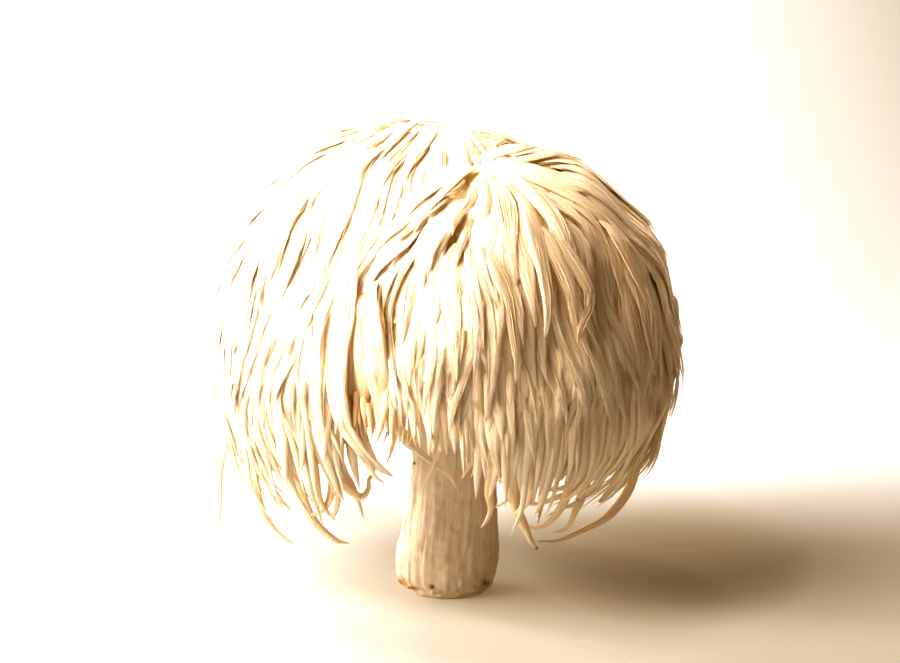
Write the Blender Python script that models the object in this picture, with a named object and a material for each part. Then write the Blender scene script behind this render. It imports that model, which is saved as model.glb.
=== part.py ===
"""Lion's mane mushroom: a fleshy two-lobed cap covered in hanging locks of spines, on a short stout stem.

Metres, +Z up. The origin is the middle of the cut foot, which the mushroom stands on.
-Y is the front. An azimuth is measured from +X towards +Y, in degrees.
"""

import math
import random

import bmesh
import bpy
from mathutils import Vector

MM = 0.001

# The outline of the mane: two egg-shaped lobes that share one level.
LOBE_LEVEL = 75 * MM
RIGHT_LOBE = {
    "name": "right",
    "x": 14 * MM,
    "y": -6 * MM,
    "wide": 56 * MM,
    "deep": 58 * MM,
    "up": 64 * MM,
    "down": 62 * MM,
}
LEFT_LOBE = {
    "name": "left",
    "x": -8 * MM,
    "y": 8 * MM,
    "wide": 65 * MM,
    "deep": 56 * MM,
    "up": 70 * MM,
    "down": 95 * MM,
}
LOBES = (RIGHT_LOBE, LEFT_LOBE)
MANE_AXIS = Vector((2 * MM, 0, LOBE_LEVEL))

# The flesh that the spines grow from, and its flat underside.
FLESH_SHRINK = 6 * MM
UNDERSIDE_HEIGHT = 63 * MM

# The stem, from the foot up: height, radius and the lean of its middle to the right.
STEM_RINGS = (
    (0, 11.6, 0.0),
    (1.4, 13.2, 0.0),
    (5, 14.7, -0.3),
    (10, 15.3, 0.0),
    (16, 14.9, 0.5),
    (23, 14.1, 1.0),
    (31, 13.2, 1.7),
    (39, 12.6, 2.2),
    (46, 12.8, 2.3),
    (52, 14.2, 2.3),
    (56, 15.6, 2.3),
)
STEM_SIDES_RESOLUTION = 10
STEM_FLUTES = 9
STEM_FLUTE_DEPTH = 0.22 * MM
JOINT_GAP = 0.3 * MM

# How low the hanging spines reach at each azimuth, read from the front and guessed behind.
SKIRT_TIPS = (
    (0, 26),
    (30, 28),
    (60, 31),
    (94, 35),
    (103, 52),
    (116, 52),
    (126, 36),
    (155, 28),
    (180, 23),
    (205, 20),
    (225, 20),
    (238, 28),
    (250, 56),
    (263, 58),
    (275, 48),
    (286, 27),
    (300, 22),
    (320, 20),
    (345, 23),
)

# The wall of short spines behind the skirt. It is missing in front of the stem, and in a slot left of it.
WALL_THICKNESS = 7 * MM
WALL_BOTTOM = 46 * MM
SLOT_LEFT, SLOT_RIGHT = -27 * MM, -9 * MM
FRONT_RIGHT = 15 * MM
SLOT_TOP = 59 * MM
CUTTER_REACH = 300 * MM

# The rows of locks, from the crown down: name, number of locks, steps in each, the polar angles at which
# they start and end (degrees from straight up, or None for a skirt lock that ends by height), the radius
# at root, belly and tip in mm, and how far out of the outline the row stands, as a factor.
ROWS = (
    ("crown", 7, 5, 5, 48, 5.6, 5.2, 1.2, 1.0),
    ("brow", 13, 6, 24, 76, 6.2, 5.6, 1.1, 1.0),
    ("cheek", 20, 6, 46, 102, 6.4, 5.4, 1.0, 1.0),
    ("skirt", 36, 7, 68, None, 6.4, 5.5, 0.9, 0.985),
)
JITTER = 0.15
BELLY_AT = 0.4
ROOT_SINK = 5 * MM
LOCK_SEED = 7


def mane_reach(direction):
    """How far the mane's outline is from the mane axis, along a unit direction."""
    reach = 0.0
    for lobe in LOBES:
        tall = lobe["up"] if direction.z >= 0 else lobe["down"]
        size = Vector((lobe["wide"], lobe["deep"], tall))
        start = Vector((MANE_AXIS.x - lobe["x"], MANE_AXIS.y - lobe["y"], 0))
        ray = Vector(d / s for d, s in zip(direction, size))
        offset = Vector(c / s for c, s in zip(start, size))
        half = ray.dot(offset)
        inside = half * half - ray.dot(ray) * (offset.dot(offset) - 1)
        reach = max(reach, (math.sqrt(max(inside, 0)) - half) / ray.dot(ray))
    return reach


def direction_at(azimuth, polar):
    """The unit direction at an azimuth and an angle from straight up, in degrees."""
    around, down = math.radians(azimuth), math.radians(polar)
    return Vector((math.sin(down) * math.cos(around), math.sin(down) * math.sin(around), math.cos(down)))


def polar_at_height(azimuth, height):
    """The angle from straight up at which the mane's outline is as low as this height."""
    low, high = 90.0, 170.0
    for _ in range(24):
        middle = (low + high) / 2
        direction = direction_at(azimuth, middle)
        level = MANE_AXIS.z + mane_reach(direction) * direction.z
        low, high = (middle, high) if level > height else (low, middle)
    return low


def skirt_tip_height(azimuth):
    """The height of the lowest spine tips at an azimuth, between the listed ones."""
    listed = SKIRT_TIPS + ((SKIRT_TIPS[0][0] + 360, SKIRT_TIPS[0][1]),)
    azimuth %= 360
    for (a, low), (b, high) in zip(listed, listed[1:]):
        if a <= azimuth <= b:
            return (low + (high - low) * (azimuth - a) / (b - a)) * MM
    return listed[0][1] * MM


def lock_line(row, azimuth, rng):
    """The middle line of one lock and its radius at each point, from root to tip."""
    _, _, steps, start, end, root, belly, tip, lift = row
    start += rng.uniform(-4, 4)
    if end is None:
        end = polar_at_height(azimuth, skirt_tip_height(azimuth) + rng.uniform(-3, 3) * MM)
    else:
        end += rng.uniform(-7, 7)
    sway = rng.uniform(-3.5, 3.5)
    curl = rng.uniform(-7, 7)
    flick = rng.uniform(-0.02, 0.03)
    points, radii = [], []
    for step in range(steps + 1):
        along = step / steps
        thick = root + (belly - root) * min(along / BELLY_AT, 1)
        if along > BELLY_AT:
            thick += (tip - belly) * ((along - BELLY_AT) / (1 - BELLY_AT)) ** 1.25
        turn = sway * math.sin(math.pi * along) + curl * along**3
        direction = direction_at(azimuth + turn, start + (end - start) * along)
        reach = mane_reach(direction) * (lift + flick * along**2) - thick * MM
        reach -= ROOT_SINK * (1 - along) ** 4
        points.append(MANE_AXIS + direction * reach)
        radii.append(thick * MM)
    return points, radii


def tube(name, points, radii, resolution):
    """A closed mesh object round a line, with a thickness at each point."""
    curve = bpy.data.curves.new(name, "CURVE")
    curve.dimensions = "3D"
    curve.bevel_depth = 1.0
    curve.bevel_resolution = resolution
    curve.use_fill_caps = True
    spline = curve.splines.new("POLY")
    spline.points.add(len(points) - 1)
    for spot, point, radius in zip(spline.points, points, radii):
        spot.co = (*point, 1)
        spot.radius = radius
    drawn = bpy.data.objects.new(name, curve)
    bpy.context.scene.collection.objects.link(drawn)
    mesh = bpy.data.meshes.new_from_object(drawn.evaluated_get(bpy.context.evaluated_depsgraph_get()))
    bpy.data.objects.remove(drawn)
    body = bmesh.new()
    body.from_mesh(mesh)
    bmesh.ops.remove_doubles(body, verts=body.verts, dist=1e-6)
    bmesh.ops.recalc_face_normals(body, faces=body.faces)
    body.to_mesh(mesh)
    body.free()
    return bpy.data.objects.new(name, mesh)


def material(name, colour, roughness):
    """A plain matt finish."""
    finish = bpy.data.materials.new(name)
    finish.use_nodes = True
    shader = finish.node_tree.nodes["Principled BSDF"]
    shader.inputs["Base Color"].default_value = (*colour, 1)
    shader.inputs["Roughness"].default_value = roughness
    shader.inputs["Metallic"].default_value = 0
    return finish


def cutter(obj, tools):
    """Keeps a shape out of the render, as a tool that another shape is cut or joined with."""
    tools.objects.link(obj)
    obj.hide_render = True
    obj.display_type = "WIRE"
    return obj


def block(name, low, high):
    """A closed box between two corners."""
    box = bmesh.new()
    bmesh.ops.create_cube(box, size=1)
    for vert in box.verts:
        vert.co = Vector(high[i] if vert.co[i] > 0 else low[i] for i in range(3))
    mesh = bpy.data.meshes.new(name)
    box.to_mesh(mesh)
    box.free()
    return bpy.data.objects.new(name, mesh)


def egg(name, lobe, shrink, ceiling=None):
    """One lobe as a closed ball, narrower than the mane's outline by the shrink, cut flat at a ceiling."""
    ball = bmesh.new()
    bmesh.ops.create_uvsphere(ball, u_segments=24, v_segments=14, radius=1)
    for vert in ball.verts:
        tall = lobe["up"] if vert.co.z >= 0 else lobe["down"]
        vert.co.x = lobe["x"] + vert.co.x * (lobe["wide"] - shrink)
        vert.co.y = lobe["y"] + vert.co.y * (lobe["deep"] - shrink)
        vert.co.z = LOBE_LEVEL + vert.co.z * (tall - shrink)
    if ceiling:
        everything = ball.verts[:] + ball.edges[:] + ball.faces[:]
        level = Vector((0, 0, ceiling))
        bmesh.ops.bisect_plane(ball, geom=everything, plane_co=level, plane_no=(0, 0, 1), clear_outer=True)
        rim = [edge for edge in ball.edges if edge.is_boundary]
        bmesh.ops.contextual_create(ball, geom=rim)
    mesh = bpy.data.meshes.new(name)
    ball.to_mesh(mesh)
    ball.free()
    return bpy.data.objects.new(name, mesh)


def boolean(obj, name, operation, tool):
    """Cuts or joins an object with a tool or a collection of tools."""
    step = obj.modifiers.new(name, "BOOLEAN")
    step.operation = operation
    step.solver = "EXACT"
    if isinstance(tool, bpy.types.Collection):
        step.operand_type = "COLLECTION"
        step.collection = tool
    else:
        step.object = tool


def make_stem(collection):
    """The stem: a stout tube that bulges at the foot and flares into the cap, lightly fluted."""
    points = [Vector((lean * MM, 0, height * MM)) for height, _, lean in STEM_RINGS]
    radii = [radius * MM for _, radius, _ in STEM_RINGS]
    stem = tube("stem", points, radii, STEM_SIDES_RESOLUTION)
    top = STEM_RINGS[-1][0] * MM
    for vert in stem.data.vertices:
        out = Vector((vert.co.x, vert.co.y))
        if out.length < 5 * MM:
            continue
        around = math.atan2(vert.co.y, vert.co.x)
        fade = math.sin(math.pi * min(max(vert.co.z / top, 0), 1))
        push = STEM_FLUTE_DEPTH * fade * math.sin(STEM_FLUTES * around)
        vert.co.x += out.normalized().x * push
        vert.co.y += out.normalized().y * push
    stem.data.shade_smooth()
    stem.data.materials.append(material("stem flesh", (0.86, 0.74, 0.56), 0.6))
    collection.objects.link(stem)


def make_locks(tools):
    """Every lock of the mane, row by row, each one closed and rooted in the flesh."""
    locks = bpy.data.collections.new("locks")
    tools.children.link(locks)
    rng = random.Random(LOCK_SEED)
    for row in ROWS:
        name, count = row[:2]
        for number in range(count):
            azimuth = 360 / count * (number + rng.uniform(-JITTER, JITTER))
            points, radii = lock_line(row, azimuth, rng)
            cutter(tube(f"{name}_lock_{number:02d}", points, radii, 1), locks)
    return locks


def make_cap(collection, tools):
    """The cap: both lobes of flesh, flat underneath, with a neck for the stem and every lock joined on."""
    cap = egg("cap", RIGHT_LOBE, FLESH_SHRINK)
    other = cutter(egg("left_lobe", LEFT_LOBE, FLESH_SHRINK), tools)
    boolean(cap, "join the lobes", "UNION", other)

    hollows = bpy.data.collections.new("hollows")
    tools.children.link(hollows)
    far = CUTTER_REACH
    cutter(block("below_the_wall", (-far, -far, -far), (far, far, WALL_BOTTOM)), hollows)
    cutter(block("slot", (SLOT_LEFT, -far, 0), (SLOT_RIGHT, far, SLOT_TOP)), hollows)
    cutter(block("front_opening", (SLOT_LEFT, -far, 0), (FRONT_RIGHT, 0, SLOT_TOP)), hollows)
    for lobe in LOBES:
        cutter(egg(f"{lobe['name']}_hollow", lobe, FLESH_SHRINK + WALL_THICKNESS, UNDERSIDE_HEIGHT), hollows)
    boolean(cap, "hollow the underside", "DIFFERENCE", hollows)

    height, radius, lean = STEM_RINGS[-1]
    foot = Vector((lean * MM, 0, height * MM + JOINT_GAP))
    points = [foot, foot + Vector((0, 0, 5 * MM)), foot + Vector((0, 0, 16 * MM))]
    neck = cutter(tube("neck", points, [radius * MM, (radius + 4) * MM, (radius + 9) * MM], 6), tools)
    boolean(cap, "join the neck", "UNION", neck)

    boolean(cap, "join the locks", "UNION", make_locks(tools))
    cap.data.shade_smooth()
    cap.data.materials.append(material("mane flesh", (0.93, 0.85, 0.72), 0.65))
    collection.objects.link(cap)


def main():
    for old in list(bpy.data.objects):
        bpy.data.objects.remove(old)
    mushroom = bpy.data.collections.new("lions_mane_mushroom")
    tools = bpy.data.collections.new("tools")
    bpy.context.scene.collection.children.link(mushroom)
    bpy.context.scene.collection.children.link(tools)
    make_stem(mushroom)
    make_cap(mushroom, tools)


main()
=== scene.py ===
import math

import bpy
import numpy as np
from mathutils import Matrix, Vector


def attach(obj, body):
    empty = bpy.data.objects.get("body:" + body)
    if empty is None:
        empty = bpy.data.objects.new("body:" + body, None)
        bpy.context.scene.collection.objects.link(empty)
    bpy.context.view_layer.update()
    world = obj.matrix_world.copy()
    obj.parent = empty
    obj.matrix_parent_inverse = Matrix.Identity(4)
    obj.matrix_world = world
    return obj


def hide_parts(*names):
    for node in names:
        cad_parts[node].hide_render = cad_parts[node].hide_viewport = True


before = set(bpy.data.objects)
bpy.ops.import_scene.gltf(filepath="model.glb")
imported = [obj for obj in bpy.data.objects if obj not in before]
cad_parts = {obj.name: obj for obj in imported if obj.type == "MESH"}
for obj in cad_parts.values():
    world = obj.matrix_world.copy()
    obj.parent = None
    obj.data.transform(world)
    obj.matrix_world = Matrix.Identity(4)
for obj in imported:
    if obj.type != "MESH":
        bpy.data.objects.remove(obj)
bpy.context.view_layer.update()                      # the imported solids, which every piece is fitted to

# Lengths are in millimetres on the mushroom until a mesh is made, which scales them to metres.
mm = 0.001


# Small helpers for arrays of spots


def unit(vectors):
    return vectors / np.maximum(np.linalg.norm(vectors, axis=-1, keepdims=True), 1e-9)


def smoothStep(low, high, value):
    part = np.clip((value - low) / (high - low), 0, 1)
    return part * part * (3 - 2 * part)


# Turns that spread numbered spots evenly over a disc or a ball
def goldenTurns(number):
    return number * math.pi * (3 - math.sqrt(5))


# Smooth noise, about -1 to 1, from a few crossed waves of roughly this size.
def softNoise(spots, size, seed, waves=5):
    draw = np.random.default_rng(seed)
    total = 0
    for _ in range(waves):
        wave = unit(draw.normal(0, 1, 3)) * 2 * math.pi / (size * draw.uniform(0.7, 1.5))
        total = total + np.sin(spots @ wave + draw.uniform(0, 2 * math.pi))
    return total * 1.1 / math.sqrt(waves)


# Helpers for node trees. A value given to a socket is either a fixed value or another node's socket.


def addNode(tree, kind, values=None, **settings):
    node = tree.nodes.new(kind)
    for name, value in settings.items():
        setattr(node, name, value)
    for name, value in (values or {}).items():
        plug(tree, value, node.inputs[name])
    return node


def plug(tree, value, socket):
    if isinstance(value, bpy.types.NodeSocket):
        tree.links.new(value, socket)
    else:
        socket.default_value = value


def maths(tree, operation, *values):
    node = addNode(tree, "ShaderNodeMath", operation=operation)
    for value, socket in zip(values, node.inputs):
        plug(tree, value, socket)
    return node.outputs[0]


def vectorMaths(tree, operation, *values, scale=None):
    node = addNode(tree, "ShaderNodeVectorMath", operation=operation)
    for value, socket in zip(values, node.inputs):
        plug(tree, value, socket)
    if scale is not None:
        plug(tree, scale, node.inputs["Scale"])
    return node.outputs[0]


def newGroup(name, kind, inputs, outputs):
    tree = bpy.data.node_groups.new(name, kind)
    for way, sockets in (("INPUT", inputs), ("OUTPUT", outputs)):
        for label, socketKind in sockets:
            tree.interface.new_socket(label, in_out=way, socket_type="NodeSocket" + socketKind)
    given = tree.nodes.new("NodeGroupInput").outputs
    result = tree.nodes.new("NodeGroupOutput").inputs
    return tree, given, result


# The first output of a new node
def outputOf(tree, kind, values=None, **settings):
    return addNode(tree, kind, values, **settings).outputs[0]


def times(tree, first, second):
    return maths(tree, "MULTIPLY", first, second)


def joinAxes(tree, x=0.0, y=0.0, z=0.0):
    return outputOf(tree, "ShaderNodeCombineXYZ", {"X": x, "Y": y, "Z": z})


def noise(tree, place, scale, detail, output="Fac", roughness=0.5):
    values = {"Vector": place, "Scale": scale, "Detail": detail, "Roughness": roughness}
    return addNode(tree, "ShaderNodeTexNoise", values).outputs[output]


# The mane's outline: two lobes, each half of an egg upwards and half of another downwards.
# The hair of each lobe spreads from its whorl, near the dip where the lobes meet.
lobes = {
    "right": {"middle": (14, -6, 75), "wide": 56, "deep": 58, "up": 64, "down": 62, "whorl": (11, -24, 131)},
    "left": {"middle": (-8, 8, 75), "wide": 65, "deep": 56, "up": 70, "down": 95, "whorl": (2, 12, 143)},
}
maneAxis = (2, 0)
shortestLock = 4

# Places where the mane sinks: (spot, how far it is felt, how deep), in mm, and how much the hair parts there;
# the deeper ones also get more painted shade
hollows = (
    ((6.5, -38, 128), 4.5, 2.4, 0.3), ((5.5, -46, 120), 5.5, 3.4, 0.2), ((4, -51, 113), 5.0, 2.5, 0.1),
    ((-10, -43, 115), 6.0, 0.8, 0.1), ((-6, -22, 134), 6.5, 0.8, 0.2), ((43, -30, 112), 7.0, 2.0, 0.4),
    ((28, 0, 133), 7.0, 1.5, 0.4), ((-25, -46, 80), 7.0, 2.2, 0.2), ((-34, -38, 98), 7.0, 0.5, 0.1),
)

# How low the hanging spines reach, in mm above the floor, at each azimuth from +X towards +Y.
skirtAzimuths = (0, 30, 60, 94, 103, 116, 126, 155, 180, 205, 225, 231, 235, 246, 251, 263, 275, 286, 300,
                 320, 345, 360)
skirtHeights = (31, 32, 33, 36, 52, 52, 38, 33, 31, 31, 32, 34, 78, 78, 64, 60, 53, 34, 34, 34, 32, 31)


def skirtTip(spots):
    azimuth = np.degrees(np.arctan2(spots[..., 1] - maneAxis[1], spots[..., 0] - maneAxis[0])) % 360
    return np.interp(azimuth, skirtAzimuths, skirtHeights)


def lobeScaled(spots, lobe):
    fromMiddle = spots - np.array(lobe["middle"], float)
    tall = np.where(fromMiddle[:, 2] >= 0, lobe["up"], lobe["down"])
    radii = np.stack([np.full(len(spots), lobe["wide"]), np.full(len(spots), lobe["deep"]), tall], axis=1)
    return fromMiddle, radii, np.linalg.norm(fromMiddle / radii, axis=1)


# Moves spots to the lobe's outline, and gives the outward direction at each.
def ontoLobe(spots, lobe):
    fromMiddle, radii, size = lobeScaled(spots, lobe)
    surface = fromMiddle / size[:, None]
    return np.array(lobe["middle"], float) + surface, unit(surface / radii**2)


# How far along each direction the mane's outline lies, seen from a spot inside both lobes.
def outlineReach(centre, directions):
    low, high = np.zeros(len(directions)), np.full(len(directions), 120.0)
    for _ in range(26):
        middle = (low + high) / 2
        spots = centre + directions * middle[:, None]
        inside = np.minimum(*[lobeScaled(spots, lobe)[2] for lobe in lobes.values()]) < 1
        low, high = np.where(inside, middle, low), np.where(inside, high, middle)
    return low


def alongSurface(vectors, outward):
    return unit(vectors - outward * np.sum(vectors * outward, axis=1, keepdims=True))


# Evenly spread roots over a lobe, a few mm apart, between two heights.
def spreadRoots(lobe, spacing, lowest, highest, draw):
    area = 4 * math.pi * ((lobe["wide"] + lobe["deep"] + lobe["up"]) / 3) ** 2
    count = int(area / spacing**2)
    number = np.arange(count) + 0.5
    height = 1 - 2 * number / count
    turn = goldenTurns(number)
    ring = np.sqrt(1 - height**2)
    roots = np.stack([ring * np.cos(turn), ring * np.sin(turn), height], axis=1) * 60
    roots += draw.normal(0, spacing * 0.22, roots.shape)
    roots, _ = ontoLobe(roots + np.array(lobe["middle"], float), lobe)
    return roots[(roots[:, 2] > lowest) & (roots[:, 2] < highest)]


def nearHollows(spots):
    for spot, size, depth, parting in hollows:
        offset = spots - np.array(spot, float)
        yield offset, np.exp(-np.sum(offset**2, axis=-1, keepdims=True) / size**2), depth, parting


# The most painted shade, a darker and warmer tint, that the hollows put on each spot, or what it was where
# that is more
def shadeInHollows(spots, paintedShadeShare):
    for _, closeness, deep, _ in nearHollows(spots):
        paintedShadeShare = np.maximum(paintedShadeShare, closeness[..., 0] * min(1, 0.15 * deep))
    return paintedShadeShare


# Walks every root over its lobe in small steps: away from the whorl at first, then as gravity pulls.
def combDown(roots, lobe, layer, draw):
    whorl = ontoLobe(np.array([lobe["whorl"]], float), lobe)[0][0]
    spots, outward = ontoLobe(roots, lobe)
    path, outs = [spots], [outward]
    bend = draw.normal(0, layer["sway"], (len(roots), 1))
    phase = draw.uniform(0, 2 * math.pi, (len(roots), 1))
    for step in range(layer["steps"]):
        away = alongSurface(spots - whorl, outward)
        down = alongSurface(np.array([[0.0, 0.0, -1.0]]) - spots * 0, outward)
        far = np.linalg.norm(spots - whorl, axis=1, keepdims=True)
        pull = smoothStep(10, 70, far)
        flow = unit(away * (1 - pull) + down * (0.15 + pull))
        across = np.cross(outward, flow)
        swirl = softNoise(spots, 34, layer["seed"])[:, None] * layer["swirl"]
        wave = bend * np.sin(phase + step * layer["stride"] / layer["waveLength"] * 2 * math.pi)
        flow = flow + across * (swirl + wave)
        for offset, closeness, _, parting in nearHollows(spots):
            flow = flow + alongSurface(offset, outward) * closeness * parting
        flow = unit(flow)
        spots, outward = ontoLobe(spots + flow * layer["stride"], lobe)
        path.append(spots)
        outs.append(outward)
    return np.stack(path, axis=1), np.stack(outs, axis=1)


# Reads each walked path at evenly spaced points over its own length.
def cutToLength(path, lengths, stride, points):
    at = lengths[:, None] / stride * np.linspace(0, 1, points)[None, :]
    at = np.clip(at, 0, path.shape[1] - 1.001)
    low = at.astype(int)
    part = (at - low)[:, :, None]
    rows = np.arange(len(path))[:, None]
    return path[rows, low] * (1 - part) + path[rows, low + 1] * part


# What each guide line carries, spread over its spots
def guideSet(spots, outward, radius, full, paintedShade, tone):
    every = 0 * radius
    return {"spots": spots, "outward": outward, "radius": radius, "full": full + every,
            "paintedShade": paintedShade + every, "tone": tone + every}


# Turns a layer's settings into guide lines for its tufts: spots, outward directions, radii and tones.
def guideLines(lobeNames, layer):
    parts = []
    for lobeName in lobeNames:
        lobe = lobes[lobeName]
        other = lobes["left" if lobeName == "right" else "right"]
        draw = np.random.default_rng(layer["seed"] * 10 + len(lobeName))
        roots = spreadRoots(lobe, layer["spacing"], *layer["rootHeights"], draw)
        path, outs = combDown(roots, lobe, layer, draw)
        count = len(roots)
        rise = draw.uniform(*layer["tipRise"], (count, 1))
        rise = np.where(draw.uniform(0, 1, (count, 1)) < layer["longOnes"], -0.5 * rise, rise)

        # Where the skirt is cut high, the tips differ less and hang a little lower.
        lowest = skirtTip(path)
        tips = lowest + rise * (1 - 0.35 * smoothStep(32, 54, lowest)) - 8 * smoothStep(40, 54, lowest)
        below = np.append(path[:, 1:, 2] < tips[:, 1:], np.ones((count, 1), bool), axis=1)
        hanging = (np.argmax(below, axis=1) + 1) * layer["stride"]
        lengths = np.minimum(hanging, draw.uniform(*layer["length"], count))
        near = smoothStep(5, 60, np.linalg.norm(roots - np.array(lobe["whorl"], float), axis=1))
        lengths *= layer["whorlLength"] + (1 - layer["whorlLength"]) * near
        spots = cutToLength(path, lengths, layer["stride"], layer["points"])
        outward = unit(cutToLength(outs, lengths, layer["stride"], layer["points"]))
        middle = layer["points"] // 2
        buried = [lobeScaled(spots[:, at], other)[2] < layer["buried"]
                  for at in (middle, layer["points"] - 2)]
        keep = ~(buried[0] & buried[1]) & (lengths > shortestLock)
        keep &= draw.uniform(0, 1, count) < layer["share"]
        parts.append(shapeLocks(spots[keep], outward[keep], lengths[keep], layer, draw))
    return {key: np.concatenate([part[key] for part in parts]) for key in parts[0]}


# Sinks each lock's root, lifts its tip, and curls the tip in or sideways.
def shapeLocks(spots, outward, lengths, layer, draw):
    count, points = spots.shape[:2]
    along = np.linspace(0, 1, points)[None, :]
    lift = draw.uniform(*layer["lift"], (count, 1))
    depth = layer["depth"] + layer["sink"] * (1 - along) ** 2 - lift * along**2.5
    depth = depth + draw.uniform(-0.5, 0.5, (count, 1)) * layer["looseness"]
    depth = depth + layer["waves"] * softNoise(spots, 26, 51)
    for _, closeness, deep, _ in nearHollows(spots):
        depth = depth + closeness[..., 0] * deep
    spots = spots - outward * depth[:, :, None]

    tipPart = (smoothStep(0.45, 1.25, along) * 1.6)[:, :, None]
    inward = np.zeros((count, 1, 3))
    inward[:, 0, :2] = unit(np.array(maneAxis) - spots[:, -1, :2])
    side = np.cross(outward[:, -1:], np.array([0.0, 0.0, 1.0]))
    amounts = [draw.normal(*layer[key], (count, 1, 1)) for key in ("curlIn", "curlSide", "curlUp")]
    size = lengths[:, None, None] / 40
    spots = spots + tipPart * size * (inward * amounts[0] + side * amounts[1])
    spots[:, :, 2:] += tipPart**2 * size * np.abs(amounts[2])

    low, high = layer["radius"]
    full = (low + (high - low) * draw.uniform(0, 1, (count, 1)) ** layer["fewWide"])
    full = full * np.clip(lengths[:, None] / 30, 0.6, 1.15)
    radius = np.maximum(full * np.interp(along, *zip(*layer["profile"])), layer["tipRadius"])
    # Painted shade: a darker, warmer tint, strongest at each lock's root and in the hollows, for the shade
    # between locks
    paintedShade = shadeInHollows(spots, layer["paintedShade"] * (1 - along) ** 1.5 + 0 * full)
    return guideSet(spots, outward, radius, full, paintedShade, draw.uniform(0, 1, (count, 1)))


# A mesh of bare lines, one for each guide, which the node tree turns into tufts.
def guideObject(name, guides):
    count, points = guides["spots"].shape[:2]
    mesh = bpy.data.meshes.new(name)
    start = np.arange(count)[:, None] * points + np.arange(points - 1)[None, :]
    edges = np.stack([start, start + 1], axis=-1).reshape(-1, 2)
    mesh.from_pydata((guides["spots"] * mm).reshape(-1, 3).tolist(), edges.tolist(), [])
    for key, label, kind, field, scale in (
        ("outward", "outward", "FLOAT_VECTOR", "vector", 1),
        ("radius", "thickness", "FLOAT", "value", mm),
        ("full", "full", "FLOAT", "value", mm),
        ("paintedShade", "paintedShade", "FLOAT", "value", 1),
        ("tone", "tone", "FLOAT", "value", 1),
    ):
        attribute = mesh.attributes.new(label, kind, "POINT")
        attribute.data.foreach_set(field, (guides[key] * scale).astype(np.float32).ravel())
    obj = bpy.data.objects.new(name, mesh)
    bpy.context.scene.collection.objects.link(obj)
    return obj


# Geometry Nodes: each guide line becomes a fluted body with fine strands combed along it.


def named(tree, label, kind="FLOAT"):
    return outputOf(tree, "GeometryNodeInputNamedAttribute", {"Name": label}, data_type=kind)


def storeNamed(tree, geometry, label, value, kind="FLOAT", domain="POINT"):
    values = {"Geometry": geometry, "Name": label, "Value": value}
    return outputOf(tree, "GeometryNodeStoreNamedAttribute", values, data_type=kind, domain=domain)


def movePoints(tree, geometry, **values):
    return outputOf(tree, "GeometryNodeSetPosition", {"Geometry": geometry, **values})


def ringCurve(tree, sides):
    return outputOf(tree, "GeometryNodeCurvePrimitiveCircle", {"Resolution": sides, "Radius": 1.0})


def alongSpline(tree, output="Factor"):
    return addNode(tree, "GeometryNodeSplineParameter").outputs[output]


def randomPerStrand(tree, low, high, seed):
    node = addNode(tree, "FunctionNodeRandomValue", {"Seed": seed}, data_type="FLOAT")
    plug(tree, low, node.inputs[2])
    plug(tree, high, node.inputs[3])
    return outputOf(tree, "GeometryNodeFieldOnDomain", {"Value": node.outputs[1]}, domain="CURVE")


def sweep(tree, curve, profile, size):
    curve = storeNamed(tree, curve, "along", alongSpline(tree))
    curve = storeNamed(tree, curve, "lengthAlong", alongSpline(tree, "Length"))
    profile = storeNamed(tree, profile, "around", alongSpline(tree))
    values = {"Curve": curve, "Profile Curve": profile, "Scale": size, "Fill Caps": True}
    return outputOf(tree, "GeometryNodeCurveToMesh", values)


# What all tufts share: the noise that ribs a body, and how a body's strands differ from each other
tuftShape = {
    "ribStretch": 28.0, "ribShift": 97.0, "slack": 0.3, "away": (0.9, 1.2), "shift": (0.0, 50.0),
    "wanderScale": 90.0, "fadePower": 1.6, "fadeShare": 0.8, "fineness": (0.65, 1.35), "toneShare": 0.5,
    "girthScale": 4500.0,
}


# The body of each tuft: a flattened ring along its guide, with ribs from noise that wraps round it.
def tuftBodies(tree, given, lines, thickness):
    squash = joinAxes(tree, given["Flatness"], 1.0, 1.0)
    shaped = vectorMaths(tree, "MULTIPLY", outputOf(tree, "GeometryNodeInputPosition"), squash)
    ring = movePoints(tree, ringCurve(tree, given["Sides"]), Position=shaped)
    bodies = sweep(tree, lines, ring, thickness)
    turn = times(tree, named(tree, "around"), 2 * math.pi)
    wide = times(tree, maths(tree, "COSINE", turn), given["Rib Count"])
    deep = times(tree, maths(tree, "SINE", turn), given["Rib Count"])
    shift = times(tree, named(tree, "tone"), tuftShape["ribShift"])
    far = maths(tree, "MULTIPLY_ADD", named(tree, "lengthAlong"), tuftShape["ribStretch"], shift)
    rib = noise(tree, joinAxes(tree, wide, deep, far), 1.0, 1.0)
    rib = times(tree, maths(tree, "SUBTRACT", rib, 0.5), given["Flutes"])
    normal = outputOf(tree, "GeometryNodeInputNormal")
    ribbed = vectorMaths(tree, "SCALE", normal, scale=times(tree, rib, thickness))
    return movePoints(tree, bodies, Offset=ribbed)


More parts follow.
